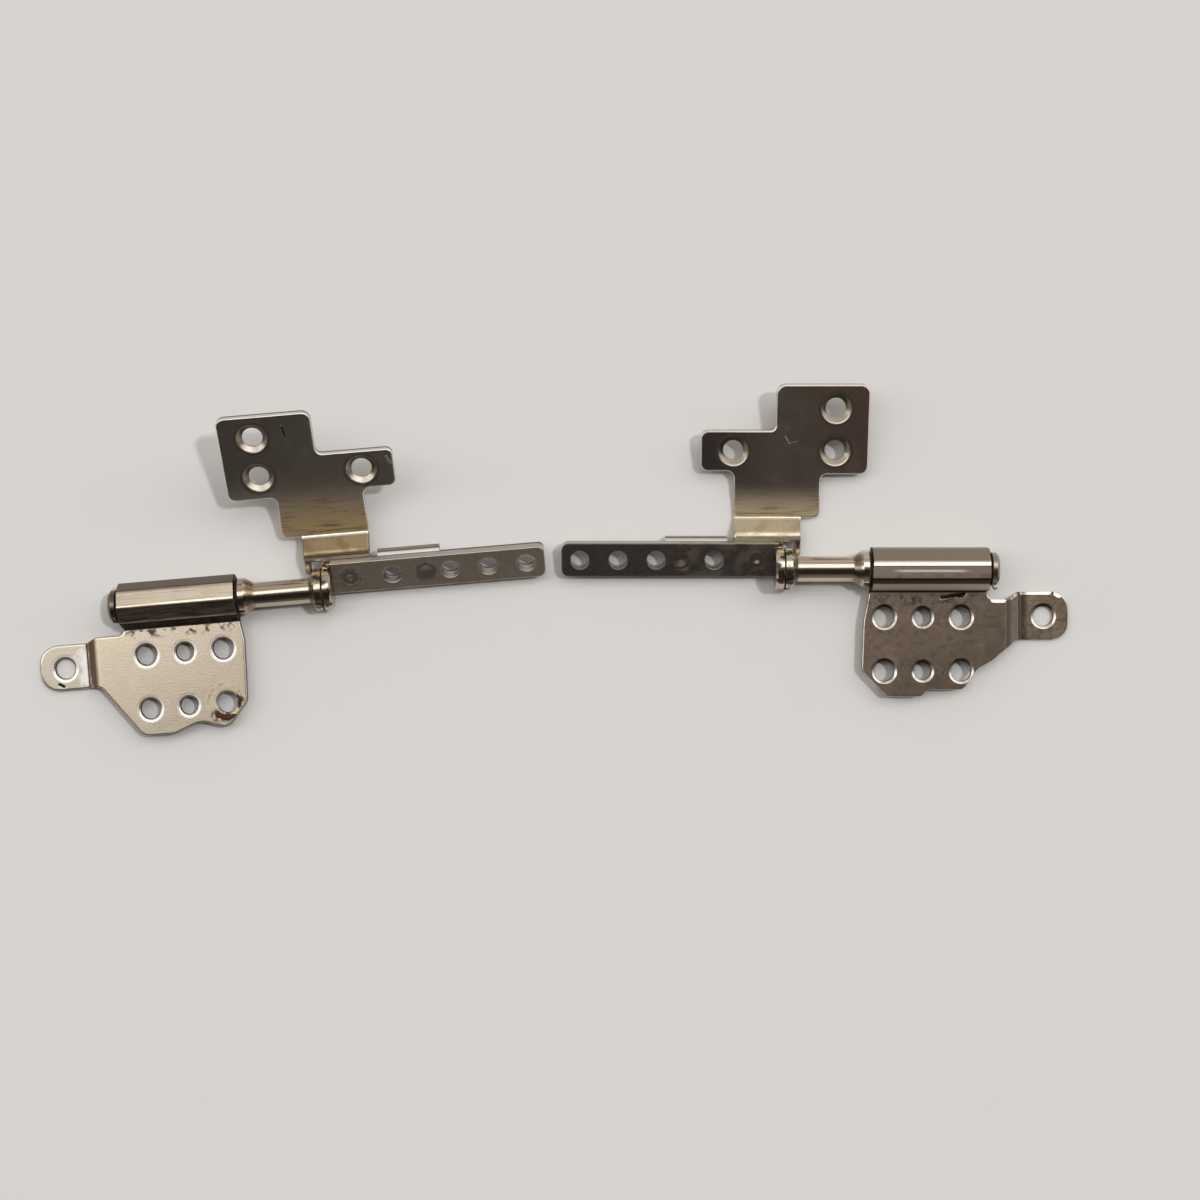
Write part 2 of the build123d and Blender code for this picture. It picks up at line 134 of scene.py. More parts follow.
right_place = joints["right"]["pos_m"]
camera_x = right_place[0] - (RIGHT_KNUCKLE_PIXEL[0] - PICTURE / 2) / PIXELS_PER_MM * MM
camera_y = right_place[1] + (RIGHT_KNUCKLE_PIXEL[1] - PICTURE / 2) / PIXELS_PER_MM * MM
camera_data = bpy.data.cameras.new("overhead_camera")
camera_data.sensor_width = SENSOR
camera_data.lens = SENSOR * LENS_HEIGHT_PIXELS / PICTURE
camera_data.clip_start = 0.005
camera = bpy.data.objects.new("overhead_camera", camera_data)
camera.location = (camera_x, camera_y, LENS_HEIGHT_PIXELS / PIXELS_PER_MM * MM)
bpy.context.scene.collection.objects.link(camera)
bpy.context.scene.camera = camera
bpy.context.scene.view_settings.view_transform = "Standard"
print("camera at", [round(x / MM, 1) for x in camera.location], "mm")

# %% [markdown]
# Finishes are built from many small nodes, so a few helpers come first. Each adds one node to a
# tree, fills its sockets with a number or a link, and returns the socket that the next one reads.

# %% Node helpers
def add_node(tree, kind, inputs=None, **settings):
    """A new node, with settings as attributes and inputs as numbers or links."""
    made = tree.nodes.new(kind)
    for name, value in settings.items():
        setattr(made, name, value)
    for name, value in (inputs or {}).items():
        if isinstance(value, bpy.types.NodeSocket):
            tree.links.new(value, made.inputs[name])
        else:
            made.inputs[name].default_value = value
    return made


def calc(tree, operation, *values):
    """One step of arithmetic on numbers or sockets."""
    return add_node(tree, "ShaderNodeMath", dict(enumerate(values)), operation=operation).outputs[0]


def soft_step(tree, value, low, high):
    """0 below low and 1 above high, with a smooth rise between; low above high turns it round."""
    inputs = {"Value": value, "From Min": min(low, high), "From Max": max(low, high),
              "To Min": float(low > high), "To Max": float(low <= high)}
    return add_node(tree, "ShaderNodeMapRange", inputs, interpolation_type="SMOOTHSTEP").outputs[0]


def noise(tree, vector, scale, detail=3.0, roughness=0.55):
    """Cloudy noise from 0 to 1, about one patch for each 1/scale of the vector's unit."""
    inputs = {"Vector": vector, "Scale": scale, "Detail": detail, "Roughness": roughness}
    return add_node(tree, "ShaderNodeTexNoise", inputs).outputs[0]


def stretch(tree, vector, factors):
    """The vector with each coordinate multiplied, so that a pattern gets longer where the factor is small."""
    return add_node(tree, "ShaderNodeVectorMath", {0: vector, 1: factors}, operation="MULTIPLY").outputs[0]


def mix_number(tree, factor, first, second):
    """A number that goes from first to second as the factor goes from 0 to 1."""
    return add_node(tree, "ShaderNodeMix", {0: factor, 2: first, 3: second}).outputs[0]


def mix_colour(tree, factor, first, second):
    """A colour that goes from first to second as the factor goes from 0 to 1."""
    full = [(*c, 1.0) if isinstance(c, tuple) and len(c) == 3 else c for c in (first, second)]
    inputs = {0: factor, 6: full[0], 7: full[1]}
    return add_node(tree, "ShaderNodeMix", inputs, data_type="RGBA").outputs[2]


def band(tree, value, low, high, soft):
    """1 between low and high and 0 outside, with soft edges."""
    rise = soft_step(tree, value, low - soft, low + soft)
    return both(tree, rise, soft_step(tree, value, high + soft, high - soft))


def both(tree, *masks):
    """1 only where every mask is 1: their product."""
    product = masks[0]
    for mask in masks[1:]:
        product = calc(tree, "MULTIPLY", product, mask)
    return product


def nearest(tree, measures, places):
    """The distance on the sheet, in millimetres, to the nearest of several places."""
    flat = stretch(tree, measures, (1.0, 1.0, 0.0))
    shortest = 1000.0
    for place in places:
        ends = {0: flat, 1: (*place, 0.0)}
        gap = add_node(tree, "ShaderNodeVectorMath", ends, operation="DISTANCE").outputs[1]
        shortest = calc(tree, "MINIMUM", gap, shortest)
    return shortest


def stroke(tree, measures, start, end, width):
    """1 along a straight scratch on the sheet, fading to 0 at its width."""
    middle = [(a + b) / 2 for a, b in zip(start, end)]
    turn = math.atan2(end[1] - start[1], end[0] - start[0])
    half = math.dist(start, end) / 2
    inputs = {"Vector": measures, "Location": (*middle, 0.0), "Rotation": (0.0, 0.0, turn)}
    placed = add_node(tree, "ShaderNodeMapping", inputs, vector_type="TEXTURE").outputs[0]
    along, across, _ = add_node(tree, "ShaderNodeSeparateXYZ", {0: placed}).outputs
    past = calc(tree, "MAXIMUM", calc(tree, "SUBTRACT", calc(tree, "ABSOLUTE", along), half - width), 0.0)
    squares = calc(tree, "ADD", calc(tree, "POWER", past, 2.0), calc(tree, "POWER", across, 2.0))
    gap = calc(tree, "SQRT", squares)
    return soft_step(tree, gap, width, 0.3 * width)


print("node helpers ready")

# %% [markdown]
# Bare metal shows little but what it mirrors, so the light matters more than the colour. In the
# picture the shafts act as small curved mirrors: they show a wide bright ceiling from overhead to 40
# degrees towards the lid plates, a dark stretch on the other side, and a dim room near the horizon.
# Lamps alone would throw hard spots, so the world itself holds that soft room, by direction.

# %% Light by direction
ROOM_STRENGTH = 2.4
ROOM_SKEW = 0.7
SKEW_LIMIT = 14.0
ROOM_STOPS = [
    (-90, (0.090, 0.078, 0.067)), (-68, (0.070, 0.060, 0.052)), (-60, (0.034, 0.029, 0.026)),
    (-50, (0.014, 0.012, 0.011)), (-18, (0.012, 0.010, 0.009)), (-10, (0.026, 0.021, 0.018)),
    (-4, (0.050, 0.041, 0.035)), (3, (0.095, 0.086, 0.076)), (8, (0.400, 0.385, 0.360)),
    (13, (1.000, 0.985, 0.965)), (31, (1.000, 0.985, 0.965)), (39, (0.300, 0.290, 0.270)),
    (52, (0.200, 0.190, 0.172)), (64, (0.280, 0.268, 0.246)), (80, (0.240, 0.228, 0.208)),
    (90, (0.120, 0.112, 0.100)),
]
BACKDROP = (0.66, 0.645, 0.625, 1.0)

world = bpy.data.worlds.new("soft_room")
bpy.context.scene.world = world
world.use_nodes = True
sky = world.node_tree
sky.nodes.clear()
way_x, way_y, way_z = add_node(
    sky, "ShaderNodeSeparateXYZ", {0: add_node(sky, "ShaderNodeTexCoord").outputs["Generated"]}
).outputs
to_lid = calc(sky, "DEGREES", calc(sky, "ARCTAN2", way_y, way_z))
to_right = calc(sky, "DEGREES", calc(sky, "ARCTAN2", way_x, way_z))
sideways = calc(sky, "MAXIMUM", calc(sky, "MINIMUM", to_right, SKEW_LIMIT), -SKEW_LIMIT)
skewed = calc(sky, "SUBTRACT", to_lid, calc(sky, "MULTIPLY", sideways, ROOM_SKEW))
ramp = add_node(sky, "ShaderNodeValToRGB", {0: calc(sky, "MULTIPLY_ADD", skewed, 1 / 180, 0.5)})
for angle, _ in ROOM_STOPS[1:-1]:
    ramp.color_ramp.elements.new(angle / 180 + 0.5)
for stop, (_, colour) in zip(ramp.color_ramp.elements, ROOM_STOPS):
    stop.color = (*colour, 1.0)
room = add_node(sky, "ShaderNodeBackground", {0: ramp.outputs[0], 1: ROOM_STRENGTH})
backdrop = add_node(sky, "ShaderNodeBackground", {0: BACKDROP, 1: 1.0})
seen = add_node(sky, "ShaderNodeLightPath").outputs["Is Camera Ray"]
shown = add_node(sky, "ShaderNodeMixShader", {0: seen, 1: room.outputs[0], 2: backdrop.outputs[0]})
add_node(sky, "ShaderNodeOutputWorld", {0: shown.outputs[0]})
print("room light has", len(ramp.color_ramp.elements), "stops")

# %% [markdown]
# The raised plates throw a narrow, fairly clear shadow to the left, about as wide as half their
# height. That asks for one small lamp on the right, well above the table, for a third of the light.

# %% Lamp on the right
LAMP_STRENGTH = 1.0
LAMP_SOFTNESS = 4.5
LAMP_FROM_RIGHT = 23.0
LAMP_FROM_LID = 8.0

lamp_data = bpy.data.lights.new("right_lamp", "SUN")
lamp_data.energy = LAMP_STRENGTH
lamp_data.angle = math.radians(LAMP_SOFTNESS)
lamp = bpy.data.objects.new("right_lamp", lamp_data)
lamp.visible_glossy = False
lamp.rotation_euler = (math.radians(-LAMP_FROM_LID), math.radians(LAMP_FROM_RIGHT), 0.0)
bpy.context.scene.collection.objects.link(lamp)
print("lamp", LAMP_FROM_RIGHT, "degrees over to the right")

# %% [markdown]
# The table is matt, pale and slightly warm. A touch of large, soft unevenness keeps it from looking
# like paper cut out behind the part.

# %% Table
TABLE_HALF = 1.5
TABLE_TONES = ((0.690, 0.672, 0.655), (0.712, 0.697, 0.682))

corners = TABLE_HALF * np.array([[-1, -1, 0], [1, -1, 0], [1, 1, 0], [-1, 1, 0]], float)
table_mesh = bpy.data.meshes.new("table")
table_mesh.from_pydata(corners.tolist(), [], [(0, 1, 2, 3)])
table = bpy.data.objects.new("table", table_mesh)
bpy.context.scene.collection.objects.link(table)
paint = bpy.data.materials.new("matt_table")
paint.use_nodes = True
tree = paint.node_tree
shader = tree.nodes["Principled BSDF"]
place = add_node(tree, "ShaderNodeTexCoord").outputs["Object"]
cloud = noise(tree, place, 60.0)
tree.links.new(mix_colour(tree, cloud, *TABLE_TONES), shader.inputs["Base Color"])
shader.inputs["Roughness"].default_value = 0.75
shader.inputs["Specular IOR Level"].default_value = 0.2
table_mesh.materials.append(paint)
print("table", 2 * TABLE_HALF, "m across")

# %% [markdown]
# All the metal is nickel plating on steel with a warm, champagne tint. What changes from piece to
# piece is how smooth it is and how far the tint goes towards gold, so one class makes the finish
# and each piece lays its own marks over it. A fine pebbled bump comes from tumbling, fainter long
# lines from rolling, and clouds in the roughness from years of handling.

# %% Plated steel
PEBBLE_HEIGHT = 0.004
ROLLING_HEIGHT = 0.0025


class Finish:
    """A metal finish in the making: its sockets are replaced as marks are laid over each other."""

    def __init__(self, name, hand, part, tint, pale, smooth, rough):
        self.material = bpy.data.materials.new(name)
        self.material.use_nodes = True
        self.tree = tree = self.material.node_tree
        place, turn, scale = hinge_measures(hand, part)
        inputs = {"Vector": add_node(tree, "ShaderNodeTexCoord").outputs["Object"],
                  "Location": place, "Rotation": turn, "Scale": scale}
        self.measures = add_node(tree, "ShaderNodeMapping", inputs, vector_type="TEXTURE").outputs[0]
        self.out, self.away, self.up = add_node(tree, "ShaderNodeSeparateXYZ", {0: self.measures}).outputs
        handled = noise(tree, self.measures, 0.35, detail=4.0)
        pebbles = noise(tree, self.measures, 3.5, detail=2.0)
        rolled = noise(tree, stretch(tree, self.measures, (0.5, 7.0, 7.0)), 1.0, detail=2.0)
        self.colour = mix_colour(tree, handled, tint, pale)
        self.roughness = mix_number(tree, calc(tree, "MULTIPLY", handled, rolled), smooth, 2 * rough - smooth)
        tumbled = calc(tree, "MULTIPLY", pebbles, PEBBLE_HEIGHT)
        self.height = calc(tree, "ADD", tumbled, calc(tree, "MULTIPLY", rolled, ROLLING_HEIGHT))
        self.metal = 1.0
        self.front = 1.0

    def lay(self, mask, colour=None, roughness=None, height=None, metal=None):
        """Lay a mark over the finish where the mask is 1; height is in millimetres."""
        tree = self.tree
        if colour is not None:
            self.colour = mix_colour(tree, mask, self.colour, colour)
        if roughness is not None:
            self.roughness = mix_number(tree, mask, self.roughness, roughness)
        if height is not None:
            self.height = calc(tree, "MULTIPLY_ADD", mask, height, self.height)
        if metal is not None:
            self.metal = mix_number(tree, mask, self.metal, metal)

    def mark(self, mask, **changes):
        """Lay a mark on the front face only, so that it does not come through on the back."""
        self.lay(both(self.tree, mask, self.front), **changes)

    def patches(self, scale, low, high, detail=4.0):
        """A mask of irregular patches: 0 where the noise is under low, 1 where it is over high."""
        return soft_step(self.tree, noise(self.tree, self.measures, scale, detail), low, high)

    def done(self):
        """Link everything to the shader and hand back the material."""
        tree = self.tree
        shader = tree.nodes["Principled BSDF"]
        bump = add_node(tree, "ShaderNodeBump", {"Strength": 1.0, "Distance": MM, "Height": self.height})
        tree.links.new(self.colour, shader.inputs["Base Color"])
        tree.links.new(self.roughness, shader.inputs["Roughness"])
        tree.links.new(bump.outputs[0], shader.inputs["Normal"])
        if isinstance(self.metal, float):
            shader.inputs["Metallic"].default_value = self.metal
        else:
            tree.links.new(self.metal, shader.inputs["Metallic"])
        return self.material


def dress(node, finish):
    """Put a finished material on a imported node."""
    mesh = nodes[node].data
    mesh.materials.clear()
    mesh.materials.append(finish.done())
    print("dressed", node)


# Grime colour, also used as painted shade in gaps and creases; the bright edge colour is a painted highlight.
GRIME_AND_SHADE = (0.030, 0.022, 0.016)
TARNISH = (0.400, 0.330, 0.260)
PAINTED_HIGHLIGHT = (0.900, 0.865, 0.800)
print("finish ready")

# %% [markdown]
# The base brackets carry the most wear. Punching has rolled the edges of every hole over. Those
# edges and the plate's rim get a painted highlight, and the cut walls below get painted shade. The
# left plate mirrors the ceiling and looks cream; the right one is tinted browner, as painted shade.

# %% Base brackets
# The right plate's tints are darker than the left's: painted shade on the same plating.
BASE_TINTS_WITH_SHADE = {"left": ((0.66, 0.57, 0.44), (0.72, 0.645, 0.53)),
              "right": ((0.53, 0.42, 0.335), (0.61, 0.50, 0.41))}
EAR_TINTS = {"left": (0.60, 0.545, 0.445), "right": (0.79, 0.65, 0.485)}
EDGE_HIGHLIGHT_TINTS = {"left": (0.93, 0.895, 0.83), "right": (0.86, 0.825, 0.77)}
SHADED_WALL_TINT = (0.105, 0.075, 0.055)
PLATE_TOP = -0.85
EAR_DROP = {"left": -1.566, "right": -1.469}
RISERS = {"left": (20.6, 22.3), "right": (19.6, 21.3)}
ROLLED_EDGE = {"left": 0.62, "right": 0.42}
RIM_DROP = {"left": -0.02, "right": -0.13}
CORNER_RADIUS = 1.44
MIDDLE_RADIUS = 1.24
KNUCKLE_FOOT = -3.5
STEP_SHADE_TINTS = {"left": (0.20, 0.135, 0.095), "right": (0.30, 0.245, 0.20)}


def hole_groups(hand):
    """The base bracket's wide holes and its narrow middle column, each with their radius."""
    holes = base_holes[hand]
    return (holes[:2] + holes[4:], CORNER_RADIUS), (holes[2:4], MIDDLE_RADIUS)


def base_finish(hand):
    """Nickel plating of a base bracket with painted highlights on its rims and painted shade on its walls and
    step.
    """
    finish = Finish(f"{hand}_base_plating", hand, "base", *BASE_TINTS_WITH_SHADE[hand], 0.2, 0.28)
    tree, out, up = finish.tree, finish.out, finish.up
    start, end = RISERS[hand]
    middle = (start + end) / 2
    on_ear = soft_step(tree, out, middle - 0.1, middle + 0.1)
    off_step = soft_step(tree, calc(tree, "ABSOLUTE", calc(tree, "SUBTRACT", out, middle)), 1.0, 1.3)
    on_plate = soft_step(tree, finish.away, KNUCKLE_FOOT + 0.2, KNUCKLE_FOOT - 0.1)
    depth = calc(tree, "SUBTRACT", mix_number(tree, on_ear, PLATE_TOP, PLATE_TOP + EAR_DROP[hand]), up)
    finish.front = soft_step(tree, depth, 0.5, 0.3)
    finish.lay(soft_step(tree, out, end, end + 0.6), colour=EAR_TINTS[hand])
    # Painted highlight on the rounded top edges of the plate.
    highlit_edge = both(tree, on_plate, off_step, soft_step(tree, depth, 0.004, 0.02))
    finish.lay(highlit_edge, colour=EDGE_HIGHLIGHT_TINTS[hand], roughness=0.4)
    # Painted shade on the cut walls below the top face.
    painted_shade_wall = both(tree, on_plate, off_step, soft_step(tree, depth, 0.08, 0.14))
    finish.lay(painted_shade_wall, colour=SHADED_WALL_TINT, roughness=0.6, metal=0.5)
    for holes, radius in hole_groups(hand):
        gap = nearest(tree, finish.measures, holes)
        rim = both(tree, on_plate, soft_step(tree, gap, radius + ROLLED_EDGE[hand], radius + 0.05))
        finish.lay(rim, height=RIM_DROP[hand])
        # Painted highlight on the rolled rim of each hole; the rounding itself is the bump above.
        rim_highlight = both(tree, soft_step(tree, rim, 0.0, 0.4), soft_step(tree, depth, 0.12, 0.06))
        finish.lay(rim_highlight, colour=EDGE_HIGHLIGHT_TINTS[hand], roughness=0.36)
    # Painted shade on the riser of the step.
    finish.lay(band(tree, out, start + 0.2, end - 0.2, 0.3), colour=STEP_SHADE_TINTS[hand], roughness=0.42)
    return finish


base_finishes = {hand: base_finish(hand) for hand in SIDES}
print("plating of the base brackets ready")

# %% [markdown]
# The rolled knuckle is flat-sided from the press. Its upper side is tinted darker as painted shade,
# and a band of painted shade runs along its lower side; between them one rolled corner gets a painted
# highlight. Painted shade darkens the seam, where the sheet's end tucks against the plate, and both ends.

# %% Knuckles
KNUCKLE_END = 16.5
UPPER_SIDE = {"left": 1.95, "right": 1.05}
SHINE_CORNER = {"left": None, "right": (0.30, 1.05)}
LOWER_SIDE = {"left": -2.45, "right": -1.4}
DARK_SIDE_END = {"left": -3.6, "right": -2.15}
SEAM = {"left": (-3.5, -2.6), "right": (-3.32, -3.0)}
UPPER_SHADE_TINTS = {"left": (0.170, 0.140, 0.112), "right": (0.33, 0.275, 0.22)}


def weather_knuckle(finish, hand):
    """Tarnish in fine rolling lines, painted shade by the side of the roll, a painted highlight on one corner
    and painted shade in the seam and at both ends.
    """
    tree, out, away, up = finish.tree, finish.out, finish.away, finish.up
    knuckle = soft_step(tree, away, KNUCKLE_FOOT - 0.1, KNUCKLE_FOOT + 0.1)
    lines = noise(tree, stretch(tree, finish.measures, (0.10, 4.0, 4.0)), 1.0, detail=4.0)
    finish.lay(both(tree, knuckle, soft_step(tree, lines, 0.45, 0.75)), colour=TARNISH, roughness=0.32)
    # Painted shade: the upper side of the roll is tinted darker.
    shaded_upper = soft_step(tree, away, UPPER_SIDE[hand], UPPER_SIDE[hand] + 0.12)
    finish.lay(both(tree, knuckle, shaded_upper), colour=UPPER_SHADE_TINTS[hand], roughness=0.34)
    if SHINE_CORNER[hand]:
        low, high = SHINE_CORNER[hand]
        finish.lay(both(tree, knuckle, soft_step(tree, away, low, high)), height=-0.15)
        # Painted highlight: the rounded corner is tinted near white.
        highlight_corner = band(tree, away, low + 0.1, high - 0.1, 0.1)
        finish.lay(both(tree, knuckle, highlight_corner), colour=PAINTED_HIGHLIGHT, roughness=0.16)
    lower = soft_step(tree, away, LOWER_SIDE[hand], LOWER_SIDE[hand] - 0.15)
    finish.lay(both(tree, knuckle, lower), colour=(0.60, 0.51, 0.42), roughness=0.36)
    # Painted shade: a dark band along the lower side of the roll.
    shaded_side = band(tree, away, DARK_SIDE_END[hand], LOWER_SIDE[hand], 0.12)
    finish.lay(both(tree, knuckle, shaded_side), colour=(0.080, 0.060, 0.046))
    # Painted shade on both end faces of the knuckle.
    for end in (soft_step(tree, out, 0.1, 0.02), soft_step(tree, out, KNUCKLE_END - 0.1, KNUCKLE_END - 0.02)):
        finish.lay(both(tree, knuckle, end), colour=GRIME_AND_SHADE, roughness=0.6)
    # Painted shade in the seam.
    seam = both(tree, band(tree, away, *SEAM[hand], 0.06), soft_step(tree, up, -0.40, -0.50))
    finish.lay(seam, colour=GRIME_AND_SHADE, roughness=0.8, metal=0.0)


for hand in SIDES:
    weather_knuckle(base_finishes[hand], hand)
greasy = base_finishes["left"]
tree = greasy.tree
smeared = noise(tree, stretch(tree, greasy.measures, (0.3, 2.2, 2.2)), 1.0, detail=5.0)
low_facet = band(tree, greasy.away, -2.5, -0.35, 0.1)
greasy.lay(both(tree, low_facet, soft_step(tree, smeared, 0.42, 0.62)), colour=(0.30, 0.24, 0.19))
tanned = base_finishes["right"]
tree = tanned.tree
middle = band(tree, tanned.away, -1.3, 0.25, 0.1)
along = band(tree, tanned.out, 3.4, 12.8, 1.2)
tanned.lay(middle, colour=(0.255, 0.20, 0.16), roughness=0.42, metal=0.4)
browned = both(tree, band(tree, tanned.away, -1.3, -0.7, 0.15), tanned.patches(0.5, 0.35, 0.6))
tanned.lay(browned, colour=(0.20, 0.13, 0.095))
tanned.lay(both(tree, along, band(tree, tanned.away, -0.46, -0.16, 0.1)), colour=(0.72, 0.65, 0.56))
print("knuckles weathered")

# %% [markdown]
# Each base bracket then gets the marks that are its own. On the left: smudges of black grease along
# the seam, a painted highlight on the ear beside its bend, and a ring of old glue around the hole where
# rust has started. On the right: painted shade in the upper half of each hole's rim, a painted highlight
# on the rolled edge of the neck and ear, a gouge that a slipped screwdriver cut along the seam, and
# grease at the foot of the step.

# %% Marks on the base brackets
RUST_HOLE = (2.96, -14.7)
RUST_FOOT = (3.1, -16.75)
RUST_SIDE = (1.15, -14.6)
RUST_TAIL = (4.3, -16.6)
RUST_STAIN = (0.075, 0.030, 0.014)
GOUGES = (((9.8, -4.12), (13.7, -3.45), 0.34, -0.08), ((12.2, -3.95), (13.4, -3.85), 0.2, -0.05))
NECK_EDGE = ((16.9, -4.2), (19.5, -4.2), (21.0, -3.05), (26.2, -3.05), (27.6, -3.75))

left = base_finishes["left"]
tree = left.tree
below_seam = band(tree, left.away, -4.6, -3.5, 0.5), band(tree, left.out, 0.8, 17.0, 0.6)
flecks = both(tree, left.patches(0.75, 0.50, 0.62, detail=6.0), *below_seam)
left.mark(flecks, colour=(0.085, 0.062, 0.044), roughness=0.6, metal=0.3)
uneven = noise(tree, left.measures, 0.7, detail=5.0)
ragged_out = calc(tree, "MULTIPLY_ADD", uneven, 3.2, left.out)
ragged_away = calc(tree, "MULTIPLY_ADD", uneven, 2.4, left.away)
# Painted highlight on the ear beside its bend, with a ragged edge.
highlight_and_rubbing = both(tree, band(tree, ragged_out, 23.7, 25.2, 0.55), band(tree, ragged_away, -9.6, -4.6, 0.6))
left.mark(highlight_and_rubbing, colour=(0.99, 0.97, 0.93), roughness=0.5)
# Painted shade in the crease at the foot of the ear's step.
left.mark(band(tree, left.out, 22.15, 22.4, 0.12), colour=GRIME_AND_SHADE, roughness=0.5)
left.mark(stroke(tree, left.measures, (26.83, -10.25), (25.74, -10.91), 0.3), colour=GRIME_AND_SHADE, height=-0.03)
from_rust = nearest(tree, left.measures, [RUST_HOLE])
yellowed = both(tree, soft_step(tree, from_rust, 3.1, 2.4), left.patches(0.9, 0.3, 0.7))
left.mark(yellowed, colour=(0.66, 0.57, 0.40), roughness=0.5)
ring = both(tree, band(tree, from_rust, 2.3, 2.6, 0.25), left.patches(1.0, 0.42, 0.6))
left.mark(ring, colour=(0.40, 0.30, 0.13), roughness=0.6, metal=0.5)
stain = soft_step(tree, nearest(tree, left.measures, [RUST_FOOT, RUST_SIDE, RUST_TAIL]), 1.3, 0.5)
left.mark(both(tree, stain, left.patches(1.5, 0.4, 0.5)), colour=RUST_STAIN, roughness=0.8, metal=0.0)

right = base_finishes["right"]
tree = right.tree
mottled = both(tree, right.patches(1.3, 0.42, 0.75, detail=8.0), soft_step(tree, right.away, -3.4, -3.8))
right.mark(mottled, colour=(0.43, 0.335, 0.265))
by_seam = both(tree, band(tree, right.away, -5.2, -3.5, 0.5), soft_step(tree, right.out, 17.0, 15.5))
right.mark(both(tree, right.patches(0.8, 0.48, 0.66), by_seam), colour=(0.19, 0.15, 0.115))
# Painted shade in the upper half of each hole's rolled rim.
for holes, radius in hole_groups("right"):
    gap = nearest(tree, right.measures, holes)
    from_above = nearest(tree, right.measures, [(x, y + 0.55) for x, y in holes])
    close = soft_step(tree, gap, radius + 0.45, radius + 0.3)
    shaded = both(tree, close, soft_step(tree, from_above, radius + 0.05, radius - 0.3))
    right.mark(shaded, colour=(0.075, 0.055, 0.042), roughness=0.5)
# A bump rounds the neck and ear edge; the near-white tint on the rounding is a painted highlight.
for start, end in zip(NECK_EDGE, NECK_EDGE[1:]):
    rolled = stroke(tree, right.measures, start, end, 0.62)
    right.mark(rolled, height=-0.09)
    right.mark(soft_step(tree, rolled, 0.1, 0.4), colour=PAINTED_HIGHLIGHT, roughness=0.3)
for start, end, width, height in GOUGES:
    right.mark(stroke(tree, right.measures, start, end, width), colour=GRIME_AND_SHADE, roughness=0.6, height=height)
# Painted shade along both bends of the step.
right.mark(band(tree, right.out, 19.2, 20.0, 0.25), colour=(0.20, 0.16, 0.13), roughness=0.45)
right.mark(band(tree, right.out, 21.2, 21.5, 0.15), colour=(0.060, 0.046, 0.036), roughness=0.6)
step_foot = both(tree, band(tree, right.out, 21.5, 22.4, 0.5), right.patches(0.6, 0.2, 0.5))
right.mark(step_foot, colour=(0.22, 0.175, 0.14))
for hand in SIDES:
    dress(f"{hand}_base_bracket", base_finishes[hand])

# %% [markdown]
# A shaft is two finishes on one bar. The turned end is bright, with fine rings from the lathe. The
# arm was hammered flat in a press, which left it rougher, darker and mottled. Painted shade darkens
# the gaps beside the knuckle, the cone, the flange's foot, the gap between its discs and the arm's low sides.

# %% Shafts
ARM_START = -13.5
ARM_FRONT = -0.6
ARM_MIDDLE = 1.15
RIVETS = ((-16.2, ARM_MIDDLE), (-27.0, ARM_MIDDLE))
TURNED = {"left": ((0.46, 0.395, 0.31), (0.56, 0.49, 0.395)),
          "right": ((0.58, 0.50, 0.40), (0.66, 0.59, 0.49))}
ARM_TINTS = {"left": (0.60, 0.545, 0.465), "right": (0.235, 0.20, 0.185)}
ARM_SMEARS = {"left": (0.47, 0.425, 0.36), "right": (0.165, 0.14, 0.127)}
RIVET_RINGS = {"left": (0.22, 0.19, 0.16), "right": (0.075, 0.06, 0.052)}
NOSE_TINTS = {"left": (0.17, 0.14, 0.115), "right": (0.36, 0.31, 0.25)}


